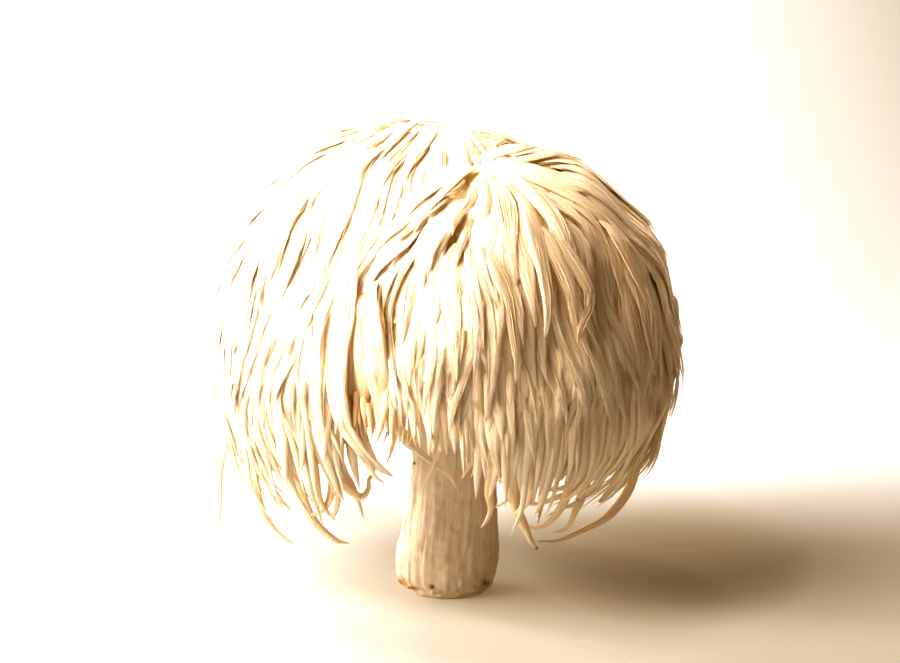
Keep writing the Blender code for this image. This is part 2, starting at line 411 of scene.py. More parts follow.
# The strands: copies of the guide, pushed sideways by a share of the tuft's own thickness.
def tuftStrands(tree, given, lines, thickness):
    thin = outputOf(tree, "GeometryNodeResampleCurve", {"Curve": lines, "Count": given["Strand Points"]})
    copies = outputOf(tree, "GeometryNodeDuplicateElements", {"Geometry": thin, "Amount": given["Strands"]},
                      domain="SPLINE")
    seed = given["Seed"]
    nextSeed, lastSeed, toneSeed = (maths(tree, "ADD", seed, step) for step in (11, 23, 37))
    slack = tuftShape["slack"]
    twist = times(tree, randomPerStrand(tree, -1.0, 1.0, lastSeed), given["Twist"])
    angle = maths(tree, "MULTIPLY_ADD", alongSpline(tree), twist,
                  randomPerStrand(tree, -slack, math.pi + slack, seed))
    away = times(tree, randomPerStrand(tree, *tuftShape["away"], nextSeed), given["Spread"])
    away = times(tree, away, thickness)
    normal = outputOf(tree, "GeometryNodeInputNormal")
    across = vectorMaths(tree, "CROSS_PRODUCT", outputOf(tree, "GeometryNodeInputTangent"), normal)
    outPart = times(tree, maths(tree, "SINE", angle), given["Flatness"])
    push = vectorMaths(tree, "ADD", vectorMaths(tree, "SCALE", normal, scale=outPart),
                       vectorMaths(tree, "SCALE", across, scale=maths(tree, "COSINE", angle)))
    push = vectorMaths(tree, "SCALE", push, scale=away)
    shift = joinAxes(tree, randomPerStrand(tree, *tuftShape["shift"], toneSeed))
    sample = vectorMaths(tree, "ADD", outputOf(tree, "GeometryNodeInputPosition"), shift)
    wander = noise(tree, sample, tuftShape["wanderScale"], 1.0, "Color")
    wander = vectorMaths(tree, "SUBTRACT", wander, (0.5, 0.5, 0.5))
    wander = vectorMaths(tree, "SCALE", wander, scale=times(tree, given["Frizz"], alongSpline(tree)))
    moved = movePoints(tree, copies, Offset=vectorMaths(tree, "ADD", push, wander))
    cut = times(tree, randomPerStrand(tree, 0.0, 1.0, toneSeed), given["Cut Short"])
    strands = outputOf(tree, "GeometryNodeTrimCurve", {"Curve": moved}, mode="FACTOR")
    plug(tree, maths(tree, "SUBTRACT", 1.0, cut), strands.node.inputs["End"])
    thinned = maths(tree, "POWER", alongSpline(tree), tuftShape["fadePower"])
    thinned = times(tree, thinned, tuftShape["fadeShare"])
    fine = times(tree, given["Strand Radius"], randomPerStrand(tree, *tuftShape["fineness"], lastSeed))
    radius = times(tree, fine, maths(tree, "SUBTRACT", 1.0, thinned))
    toneShare = tuftShape["toneShare"]
    tone = maths(tree, "MULTIPLY_ADD", named(tree, "tone"), toneShare,
                 randomPerStrand(tree, 0.0, toneShare, toneSeed))
    strands = storeNamed(tree, strands, "tone", tone)
    strands = storeNamed(tree, strands, "full", given["Strand Radius"])
    return sweep(tree, strands, ringCurve(tree, given["Strand Sides"]), radius)


def buildTuftTree():
    inputs = [
        ("Geometry", "Geometry"), ("Sides", "Int"), ("Flatness", "Float"), ("Flutes", "Float"),
        ("Rib Count", "Float"), ("Strands", "Int"), ("Strand Points", "Int"), ("Strand Sides", "Int"),
        ("Spread", "Float"), ("Strand Radius", "Float"), ("Twist", "Float"), ("Frizz", "Float"),
        ("Cut Short", "Float"), ("Fibre Scale", "Float"), ("Seed", "Int"), ("Material", "Material"),
    ]
    tree, given, result = newGroup("tuftsFromGuides", "GeometryNodeTree", inputs, [("Geometry", "Geometry")])
    lines = outputOf(tree, "GeometryNodeMeshToCurve", {"Mesh": given["Geometry"]})
    facing = {"Curve": lines, "Normal": named(tree, "outward", "FLOAT_VECTOR")}
    lines = outputOf(tree, "GeometryNodeSetCurveNormal", facing, mode="FREE")
    thickness = named(tree, "thickness")
    joined = addNode(tree, "GeometryNodeJoinGeometry")
    for part in (tuftBodies(tree, given, lines, thickness), tuftStrands(tree, given, lines, thickness)):
        tree.links.new(part, joined.inputs[0])
    lengthwise = times(tree, named(tree, "lengthAlong"), given["Fibre Scale"])
    girth = times(tree, times(tree, named(tree, "full"), tuftShape["girthScale"]), named(tree, "around"))
    pair = joinAxes(tree, girth, lengthwise)
    mapped = storeNamed(tree, joined.outputs[0], "UVMap", pair, "FLOAT2", "CORNER")
    smooth = outputOf(tree, "GeometryNodeSetShadeSmooth", {"Geometry": mapped})
    real = outputOf(tree, "GeometryNodeRealizeInstances", {"Geometry": smooth})
    painted = outputOf(tree, "GeometryNodeSetMaterial", {"Geometry": real, "Material": given["Material"]})
    plug(tree, painted, result["Geometry"])
    return tree


# Runs a tree on an object and keeps the plain mesh, with the modifier gone.
def growPiece(name, source, tree, values, material):
    modifier = source.modifiers.new("grow", "NODES")
    modifier.node_group = tree
    for item in tree.interface.items_tree:
        if item.in_out == "INPUT" and item.name in values:
            modifier[item.identifier] = values[item.name]
        if item.in_out == "INPUT" and item.name == "Material":
            modifier[item.identifier] = material
    depsgraph = bpy.context.evaluated_depsgraph_get()
    mesh = bpy.data.meshes.new_from_object(source.evaluated_get(depsgraph), depsgraph=depsgraph)
    bpy.data.objects.remove(source)
    mesh.name = name
    piece = bpy.data.objects.new(name, mesh)
    bpy.context.scene.collection.objects.link(piece)
    return piece


# Materials


def newMaterial(name, values):
    material = bpy.data.materials.new(name)
    material.use_nodes = True
    tree = material.node_tree
    shader = tree.nodes["Principled BSDF"]
    for key, value in values.items():
        shader.inputs[key].default_value = value
    return material, tree, shader


def mixColour(tree, factor, first, second):
    node = addNode(tree, "ShaderNodeMix", data_type="RGBA")
    for socket, value in ((0, factor), (6, first), (7, second)):
        plug(tree, value, node.inputs[socket])
    return node.outputs[2]


def mapRange(tree, value, low, high, toLow=0.0, toHigh=1.0):
    values = {"Value": value, "From Min": low, "From Max": high, "To Min": toLow, "To Max": toHigh}
    return outputOf(tree, "ShaderNodeMapRange", values)


def mark(tree, label):
    return addNode(tree, "ShaderNodeAttribute", attribute_name=label).outputs["Fac"]


def objectPlace(tree):
    return addNode(tree, "ShaderNodeTexCoord").outputs["Object"]


def colourAndBump(tree, shader, colour, height, look):
    plug(tree, colour, shader.inputs["Base Color"])
    values = {"Height": height, "Distance": look["bump"], "Strength": look["bumpStrength"]}
    plug(tree, outputOf(tree, "ShaderNodeBump", values), shader.inputs["Normal"])


# Fine fibres along a surface: streaks in colour and height from noise stretched one way, as (scale, detail)
fibreNoise = {"broad": (1.0, 3.0), "fine": (3.1, 2.0), "roughness": 0.6, "broadShare": 0.55,
              "fineShare": 0.45}


def buildFibreGroup():
    inputs = [("Vector", "Vector"), ("Across", "Float"), ("Lengthwise", "Float"), ("Shift", "Float")]
    outputs = [("Streak", "Float"), ("Height", "Float")]
    tree, given, result = newGroup("fibreGrain", "ShaderNodeTree", inputs, outputs)
    scale = joinAxes(tree, given["Across"], given["Lengthwise"], given["Across"])
    offset = joinAxes(tree, given["Shift"], given["Shift"], given["Shift"])
    stretched = vectorMaths(tree, "MULTIPLY_ADD", given["Vector"], scale, offset)
    broad = noise(tree, stretched, *fibreNoise["broad"], roughness=fibreNoise["roughness"])
    fine = noise(tree, stretched, *fibreNoise["fine"], roughness=fibreNoise["roughness"])
    broadPart = times(tree, broad, fibreNoise["broadShare"])
    plug(tree, broad, result["Streak"])
    plug(tree, maths(tree, "MULTIPLY_ADD", fine, fibreNoise["fineShare"], broadPart), result["Height"])
    return tree


def grainAlong(tree, fibres, vector, across, lengthwise, shift):
    values = {"Vector": vector, "Across": across, "Lengthwise": lengthwise, "Shift": shift}
    return addNode(tree, "ShaderNodeGroup", values, node_tree=fibres).outputs


# Fibres that run up the mushroom
def uprightGrain(tree, fibres, place, look):
    turned = outputOf(tree, "ShaderNodeMapping", {"Vector": place, "Rotation": (math.pi / 2, 0, 0)})
    return grainAlong(tree, fibres, turned, *look["grain"])


spineLook = {
    "surface": {"Roughness": 0.58, "Specular IOR Level": 0.22, "Subsurface Weight": 0.25,
                "Subsurface Radius": (1.0, 0.78, 0.56), "Subsurface Scale": 0.0025},
    # The root colour is painted shade, mixed in at the roots and in the hollows
    "root": (0.89, 0.62, 0.36, 1),
    "tip": (0.94, 0.86, 0.72, 1),
    "warm": (0.85, 0.64, 0.45, 1),
    "toneShift": 40.0, "streaks": (0.58, 0.36, 0.0, 0.75), "toning": (0.0, 1.0, 0.0, 0.28),
    "bump": 0.0010, "bumpStrength": 0.7,
}


def spineMaterial(fibres):
    look = spineLook
    material, tree, shader = newMaterial("spineFlesh", look["surface"])
    uv = outputOf(tree, "ShaderNodeUVMap", uv_map="UVMap")
    tone = mark(tree, "tone")
    grain = grainAlong(tree, fibres, uv, 1.0, 1.0, times(tree, tone, look["toneShift"]))
    # Painted shade: the tip colour turns towards the darker root colour where the mark says
    pale = mixColour(tree, mark(tree, "paintedShade"), look["tip"], look["root"])
    streaked = mixColour(tree, mapRange(tree, grain["Height"], *look["streaks"]), pale, look["warm"])
    toned = mixColour(tree, mapRange(tree, tone, *look["toning"]), streaked, look["warm"])
    colourAndBump(tree, shader, toned, grain["Height"], look)
    return material


# Its grain, like the stem's: how fine across, how fine lengthwise, and its shift
fleshLook = {
    "surface": {"Roughness": 0.62, "Specular IOR Level": 0.3, "Subsurface Weight": 0.35,
                "Subsurface Radius": (1.0, 0.5, 0.22), "Subsurface Scale": 0.004},
    "upper": ((0.90, 0.76, 0.55, 1), (0.95, 0.87, 0.72, 1)),
    # The lower colours are painted shade, for flesh low under the mane and in the hollows
    "shadedLower": ((0.72, 0.50, 0.29, 1), (0.84, 0.66, 0.45, 1)),
    "grain": (900.0, 120.0, 3.0), "streaks": (0.35, 0.65), "bump": 0.0006, "bumpStrength": 0.8,
}


def fleshMaterial(fibres):
    look = fleshLook
    material, tree, shader = newMaterial("innerFlesh", look["surface"])
    grain = uprightGrain(tree, fibres, objectPlace(tree), look)
    streak = mapRange(tree, grain["Streak"], *look["streaks"])
    upper, shadedLower = (mixColour(tree, streak, *look[level]) for level in ("upper", "shadedLower"))
    # Painted shade: the flesh turns to the darker lower colours where its mark says, low down and in hollows
    colourAndBump(tree, shader, mixColour(tree, mark(tree, "paintedShadeShare"), upper, shadedLower), grain["Height"], look)
    return material


stemLook = {
    "surface": {"Roughness": 0.66, "Specular IOR Level": 0.3, "Subsurface Weight": 0.3,
                "Subsurface Radius": (1.0, 0.5, 0.22), "Subsurface Scale": 0.003},
    "pale": (0.71, 0.64, 0.55, 1),
    "shade": (0.50, 0.42, 0.33, 1),
    "cut": (0.80, 0.68, 0.52, 1),
    "soil": (0.27, 0.12, 0.04, 1),
    "grain": (620.0, 55.0, 3.0), "streaks": (0.3, 0.85, 0.2, 1.0),
    "patchNoise": (130.0, 3.0), "patches": (0.35, 0.65, 0.35, 1.0), "edges": (0.55, 0.72, 0.0, 0.6),
    "crumbNoise": (560.0, 3.0), "crumbs": (0.36, 0.56, 0.25, 1.0), "stains": (0.15, 0.8),
    "cutShare": 0.5, "cutEdge": 0.6, "bump": 0.0006, "bumpStrength": 0.8,
}


def stemMaterial(fibres):
    look = stemLook
    material, tree, shader = newMaterial("stemFlesh", look["surface"])
    place = objectPlace(tree)
    grain = uprightGrain(tree, fibres, place, look)
    patches = noise(tree, place, *look["patchNoise"])
    darker = times(tree, mapRange(tree, grain["Streak"], *look["streaks"]),
                   mapRange(tree, patches, *look["patches"]))
    streaked = mixColour(tree, darker, look["pale"], look["shade"])
    cut = mark(tree, "cutFace")
    footed = mixColour(tree, times(tree, cut, look["cutShare"]), streaked, look["cut"])

    # Soil on the ragged rim and the cut face, and in stains at the foot
    rim = maths(tree, "MAXIMUM", mark(tree, "rim"), times(tree, cut, look["cutEdge"]))
    edged = times(tree, rim, mapRange(tree, patches, *look["edges"]))
    crumbly = noise(tree, place, *look["crumbNoise"])
    stained = times(tree, mapRange(tree, mark(tree, "stain"), *look["stains"]),
                    mapRange(tree, crumbly, *look["crumbs"]))
    soiled = maths(tree, "MAXIMUM", edged, stained)
    colourAndBump(tree, shader, mixColour(tree, soiled, footed, look["soil"]), grain["Height"], look)
    return material


crumbLook = {
    "surface": {"Roughness": 0.85, "Specular IOR Level": 0.2},
    "dark": (0.20, 0.08, 0.025, 1), "light": (0.36, 0.17, 0.06, 1),
    "grit": (3000.0, 3.0), "specks": (0.4, 0.6), "bump": 0.0002, "bumpStrength": 0.8,
}


def crumbMaterial():
    look = crumbLook
    material, tree, shader = newMaterial("soilCrumb", look["surface"])
    grit = noise(tree, objectPlace(tree), *look["grit"])
    colour = mixColour(tree, mapRange(tree, grit, *look["specks"]), look["dark"], look["light"])
    colourAndBump(tree, shader, colour, grit, look)
    return material


# Pieces ride on the one body, and the solid that each stands for is hidden.
def finishPiece(piece, node):
    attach(piece, "root")
    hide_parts(node)
    triangles = sum(len(face.vertices) - 2 for face in piece.data.polygons)
    print(f"{piece.name}: {triangles} triangles")


# Closed skins through rows of rings, all with the same number of spots, with a fan at either end.
# Marks are a value for each spot, and go with a single skin.
def skinMesh(name, skins, material, marks=None):
    spots, faces = [], []
    for rings in skins:
        rows, around = rings.shape[:2]
        first = len(spots)
        grid = first + np.arange(rows * around).reshape(rows, around)
        beside = np.roll(grid, -1, axis=1)
        faces += np.stack([grid[:-1], beside[:-1], beside[1:], grid[1:]], axis=-1).reshape(-1, 4).tolist()
        low, high = first + rows * around, first + rows * around + 1
        faces += [[low, beside[0, n], grid[0, n]] for n in range(around)]
        faces += [[high, grid[-1, n], beside[-1, n]] for n in range(around)]
        spots += (rings.reshape(-1, 3) * mm).tolist()
        spots += [(rings[end].mean(axis=0) * mm).tolist() for end in (0, -1)]
    mesh = bpy.data.meshes.new(name)
    mesh.from_pydata(spots, [], faces)
    for label, values in (marks or {}).items():
        attribute = mesh.attributes.new(label, "FLOAT", "POINT")
        values = np.concatenate([values.ravel(), [values[0].mean(), values[-1].mean()]])
        attribute.data.foreach_set("value", values.astype(np.float32))
    mesh.shade_smooth()
    mesh.materials.append(material)
    piece = bpy.data.objects.new(name, mesh)
    bpy.context.scene.collection.objects.link(piece)
    return piece


def turnsRound(count):
    return np.linspace(0, 2 * math.pi, count, endpoint=False)


# Level circles of spots, one for each radius and height. Radius 1 and height 0 give directions.
def circles(turn, radius, level, centre=0):
    return np.stack([centre + radius * np.cos(turn), radius * np.sin(turn), level + 0 * turn], axis=-1)


# Directions from a ball's middle, in rows from one tilt off upright to the next
def ballWays(tilt, around):
    return circles(turnsRound(around), np.sin(tilt)[:, None], np.cos(tilt)[:, None])


# The stem: (height, radius, sideways lean) of each ring in mm, then its flutes, streaks and ragged foot,
# and the stains at the foot as (x, y, z, reach)
trunk = {
    "rings": (
        (0, 11.6, 0), (1.4, 13.2, 0), (5, 14.7, -0.3), (10, 15.2, 0.2), (16, 14.7, 0.8), (23, 13.8, 1.5),
        (31, 13.1, 2.3), (39, 12.6, 2.4), (46, 12.8, 2.3), (52, 14.2, 2.3), (56, 15.4, 2.3),
    ),
    "top": 56, "around": 150, "rows": 84,
    "flutes": 0.42, "streaks": 0.16, "lumps": 0.30,
    "lip": 2.2, "lipRagged": 0.8, "rimWidth": 0.55, "steadyFoot": 1.2,
    "stains": (
        (-12.4, -6.6, 4.2, 2.2), (-10.4, -9.4, 2.4, 1.8), (-13.4, -4.0, 3.0, 2.4), (-4.6, -13.6, 4.2, 1.0),
        (11.3, -9.2, 4.0, 1.7), (12.8, -6.0, 3.0, 1.6),
    ),
}


def smoothRows(level, heights, values):
    kernel = np.array([1, 2, 3, 2, 1]) / 9
    return np.convolve(np.pad(np.interp(level, heights, values), 2, mode="edge"), kernel, "valid")[:, None]


def makeStem(material):
    heights, radii, leans = np.array(trunk["rings"], float).T
    share = np.linspace(0, 1, trunk["rows"])
    level = trunk["top"] * (0.45 * share**2 + 0.55 * share)
    turn = turnsRound(trunk["around"])
    radius, lean = (smoothRows(level, heights, values) for values in (radii, leans))
    rings = circles(turn, radius, level[:, None], lean)
    upwards = rings[..., 2]

    # Noise over the stem, drawn out upwards by squeezing the heights that it is read at
    def grown(squeeze, size, seed, waves=5):
        return softNoise(rings.reshape(-1, 3) * (1, 1, squeeze), size, seed, waves).reshape(upwards.shape)

    flutes = grown(0.16, 13, 21) * trunk["flutes"]
    streaks = (grown(0.06, 2.3, 22, 9) + 0.6 * grown(0.08, 1.1, 23, 9)) * trunk["streaks"]
    lumps = (grown(1, 5, 24) + 0.6 * grown(1, 2.2, 25, 8)) * trunk["lumps"]
    lip = trunk["lip"] + trunk["lipRagged"] * grown(0, 8, 26)
    cut = 1 - smoothStep(-0.5, 0.5, upwards - lip)
    rim = np.exp(-(((upwards - lip) / trunk["rimWidth"]) ** 2))
    swell = (flutes + streaks) * (1 - 0.8 * cut) + lumps * (0.4 + 1.2 * cut) - 0.2 * cut + 0.2 * rim
    swell = swell * smoothStep(0, trunk["steadyFoot"], upwards)
    rings = rings + circles(turn, 1, 0) * swell[..., None]
    stain = np.zeros(upwards.shape)
    for x, y, z, reach in trunk["stains"]:
        away = np.linalg.norm(rings - (x, y, z), axis=2) / reach
        stain = np.maximum(stain, np.exp(-(away**2)))
    piece = skinMesh("stem_body", [rings], material, {"cutFace": cut, "rim": rim, "stain": stain})
    finishPiece(piece, "stem")


# Brown crumbs of soil on the stem and on one spine's tip: (x, y, z, size) in mm
crumbs = {
    "seed": 61, "around": 14, "rows": 9, "lumpSize": 1.7, "lumpy": 0.35,
    "stem": (
        (-9.8, -4.6, 40.0, 0.42), (0.9, -13.6, 50.0, 0.30), (-11.0, -8.8, 3.0, 0.70),
        (-13.2, -4.4, 4.6, 0.50), (-4.5, -14.0, 4.2, 0.50), (11.6, -9.0, 4.0, 0.55),
    ),
    "mane": ((26.4, -24.0, 18.9, 0.50),),
}


def makeCrumbs(name, places, node, material):
    ways = ballWays(np.linspace(math.pi - 0.2, 0.2, crumbs["rows"]), crumbs["around"])
    skins = []
    for number, (x, y, z, size) in enumerate(places):
        bumps = softNoise(ways.reshape(-1, 3), crumbs["lumpSize"], crumbs["seed"] + number)
        swell = 1 + crumbs["lumpy"] * bumps.reshape(ways.shape[:2])
        skins.append(ways * size * swell[..., None] + (x, y, z))
    finishPiece(skinMesh(name, skins, material), node)


# The flesh under the mane, with a flat underside and a neck that runs down onto the stem, in mm
flesh = {
    "centre": (3, 1, 86), "around": 132, "rows": 42, "inset": 4.8, "underside": 64, "tilts": (0.02, 112),
    "ball": 60, "hollowed": 1.1, "shadeHeights": (70, 104), "lean": 2.3,
    "neck": (
        (34, 63.0), (27, 62.2), (22, 60.8), (19, 59.0), (17, 57.0), (15.9, 55.4), (14.9, 54.2), (13.6, 53.4),
    ),
}


def makeFlesh(material):
    centre = np.array(flesh["centre"], float)
    first, last = flesh["tilts"]
    ways = ballWays(np.linspace(first, math.radians(last), flesh["rows"]), flesh["around"])
    flat = ways.reshape(-1, 3)
    ball = flesh["ball"]
    reach = outlineReach(centre, flat) - flesh["inset"]
    grooves = softNoise(flat * (1, 1, 0.2) * ball, 7, 31, 8) * 0.9
    grooves = grooves + softNoise(flat * (1, 1, 0.15) * ball, 2.8, 32, 9) * 0.4
    for _, closeness, deep, _ in nearHollows(centre + flat * (reach + flesh["inset"])[:, None]):
        reach = reach - flesh["hollowed"] * deep * closeness[:, 0]
    rings = (centre + flat * (reach + grooves)[:, None]).reshape(ways.shape)
    uneven = 0.6 * softNoise(flat * ball, 9, 33).reshape(rings.shape[:2])
    rings[..., 2] = np.maximum(rings[..., 2], flesh["underside"] + uneven)

    # From the mane's rim inwards under the cap, then down the neck
    turn = turnsRound(flesh["around"])
    neck = [circles(turn, radius, level, flesh["lean"]) for radius, level in flesh["neck"]]
    under = [rings[-1] * (1 - share) + neck[0] * share for share in (0.25, 0.5, 0.75)] + neck
    rings = np.concatenate([rings, np.stack(under)])[::-1]
    # Painted shade: the flesh is tinted darker and warmer below the mane and in the hollows
    paintedShadeShare = shadeInHollows(rings, 1 - smoothStep(*flesh["shadeHeights"], rings[..., 2]))
    finishPiece(skinMesh("cap_flesh", [rings], material, {"paintedShadeShare": paintedShadeShare}), "cap")


# How each lock is made by the tuft tree, unless its layer says otherwise
plainLock = {"Sides": 9, "Flatness": 0.17, "Flutes": 0.8, "Rib Count": 3.4, "Strands": 8, "Strand Points": 8,
             "Strand Sides": 3, "Spread": 1.0, "Strand Radius": 0.00023, "Twist": 0.8, "Frizz": 0.0022,
             "Cut Short": 0.3, "Fibre Scale": 120.0, "Seed": 5}


# Short spines under the cap, round the neck
fringe = {
    "seed": 12, "count": 360, "centre": (3, 1, 65.5), "inner": 19, "outer": 57, "buried": 0.91,
    "length": (6, 13), "radius": (0.7, 1.25), "tipRadius": 0.08, "points": 7, "splay": 0.35,
    "grow": {**plainLock, "Sides": 6, "Flatness": 0.7, "Flutes": 0.3, "Rib Count": 1.2, "Strands": 0,
             "Seed": 3},
}


def fringeGuides():
    draw = np.random.default_rng(fringe["seed"])
    count, points = fringe["count"], fringe["points"]
    number = np.arange(count) + 0.5
    radius = np.sqrt(fringe["inner"] ** 2 + (fringe["outer"] ** 2 - fringe["inner"] ** 2) * number / count)
    ways = circles(goldenTurns(number) + draw.normal(0, 0.1, count), 1, 0)
    roots = ways * radius[:, None] + fringe["centre"]
    size = np.minimum(*[lobeScaled(roots, lobe)[2] for lobe in lobes.values()])
    keep = size < fringe["buried"]
    roots, ways, count = roots[keep], ways[keep], int(keep.sum())
    lengths = draw.uniform(*fringe["length"], count)
    along = np.linspace(0, 1, points)
    bend = draw.normal(0, 0.12, (count, 1, 2)) * (along**2)[None, :, None]
    spots = np.repeat(roots[:, None, :], points, axis=1)
    spots[..., 2] -= lengths[:, None] * along
    spread = ways[:, None, :2] * fringe["splay"] * (along**1.5)[None, :, None] * 0.5 + bend
    spots[..., :2] += spread * lengths[:, None, None]
    outward = np.repeat(ways[:, None, :], points, axis=1)
    full = draw.uniform(*fringe["radius"], (count, 1))
    radius = np.maximum(full * (1 - along**1.5), fringe["tipRadius"])
    # Painted shade: the fringe spines are darker and warmer towards their roots under the cap
    return guideSet(spots, outward, radius, full, 1 - 0.5 * along, draw.uniform(0.5, 1, (count, 1)))


# The mane, layer by layer. A profile gives the share of the full radius along a lock, from root to tip.
lockProfile = ((0, 0.2), (0.12, 0.7), (0.3, 1.0), (0.55, 0.82), (0.8, 0.40), (0.93, 0.15), (1, 0.04))
spineProfile = ((0, 0.06), (0.12, 0.4), (0.3, 0.85), (0.5, 1.0), (0.7, 0.8), (0.88, 0.45), (0.96, 0.2),
                (1, 0.05))
featheryLock = dict(plainLock, Strands=11)
# Each layer also sets how much painted shade darkens the roots of its locks
crownTufts = {
    "seed": 3, "spacing": 5.8, "rootHeights": (98, 150), "share": 1.0, "buried": 0.95,
    "steps": 50, "stride": 1.5, "sway": 0.08, "swirl": 0.22, "waveLength": 40, "points": 12,
    "length": (24, 60), "whorlLength": 0.75, "tipRise": (8, 42), "longOnes": 0,
    "depth": 1.1, "sink": 2.2, "lift": (-0.3, 0.5), "looseness": 0.3, "waves": 1.1,
    "curlIn": (-0.3, 0.5), "curlSide": (0, 1.4), "curlUp": (0, 0.2),
    "radius": (1.2, 3.1), "fewWide": 1.1, "profile": lockProfile, "tipRadius": 0.08, "paintedShade": 0.2,
    "grow": plainLock,
}
crownTuftsRight = dict(crownTufts, grow=featheryLock)
crownTuftsLeft = dict(crownTufts, paintedShade=0.05)
cheekTufts = dict(
    crownTufts, grow=featheryLock, seed=4, spacing=7.4, rootHeights=(72, 100), length=(28, 50), sway=0.12,
    depth=1.9, lift=(-0.3, 0.9), curlSide=(0, 1.6), radius=(1.2, 2.6), tipRise=(12, 44), paintedShade=0.3,
)
underCoat = dict(
    crownTufts, seed=8, spacing=9.0, rootHeights=(72, 150), length=(36, 58), sway=0.06, depth=2.5, sink=1.5,
    lift=(0.0, 0.3), radius=(3.4, 5.2), points=10, tipRise=(24, 46), paintedShade=0.2,
    grow=dict(plainLock, Sides=11, Flatness=0.22, Flutes=1.0, Strands=0, Seed=6),
)
outerCurtain = {
    "seed": 6, "spacing": 3.8, "rootHeights": (80, 99), "share": 0.95, "buried": 0.93,
    "steps": 66, "stride": 1.5, "sway": 0.04, "swirl": 0.04, "waveLength": 44, "points": 16,
    "length": (200, 200), "whorlLength": 1.0, "tipRise": (2, 19), "longOnes": 0.10,
    "depth": 2.2, "sink": 3.2, "lift": (-0.6, 1.0), "looseness": 1.2, "waves": 0.7,
    "curlIn": (1.8, 1.4), "curlSide": (0, 1.0), "curlUp": (0, 0.8),
    "radius": (0.8, 1.8), "fewWide": 1.0, "profile": spineProfile, "tipRadius": 0.1, "paintedShade": 0.45,
    "grow": dict(plainLock, Sides=7, Flatness=0.5, Flutes=0.5, Strands=0, Seed=9),
}
innerCurtain = dict(
    outerCurtain, seed=7, spacing=5.0, rootHeights=(68, 84), depth=7.5, tipRise=(5, 24), radius=(1.1, 1.9),
    points=14, curlIn=(0.8, 1.2), grow=dict(plainLock, Sides=7, Flatness=0.7, Flutes=0.3, Strands=0, Seed=10),
)


def makeMane(tree, material):
    def grow(name, guides, settings):
        print(name, "guides", len(guides["spots"]))
        finishPiece(growPiece(name, guideObject(name, guides), tree, settings, material), "cap")

    bothLobes = ("right", "left")
    for name, lobeNames, layer in (
        ("under_coat", bothLobes, underCoat),
        ("crown_tufts_right", ("right",), crownTuftsRight),
        ("crown_tufts_left", ("left",), crownTuftsLeft),
        ("cheek_tufts", bothLobes, cheekTufts),
        ("curtain_outer", bothLobes, outerCurtain),
        ("curtain_inner", bothLobes, innerCurtain),
    ):
        grow(name, guideLines(lobeNames, layer), layer["grow"])
    grow("under_fringe", fringeGuides(), fringe["grow"])
    spines = [(radii, spineLine["paintedShade"], evenDepths(*marks)) for radii, *marks in singleSpines.values()]
    grow("single_spines", throughMarks(spines, spineLine), spineLine["grow"])
    grow("placed_locks", throughMarks(placedLocks.values(), lockLine), lockLine["grow"])
    grow("edge_fringe", edgeFringeGuides(), fringe["grow"])


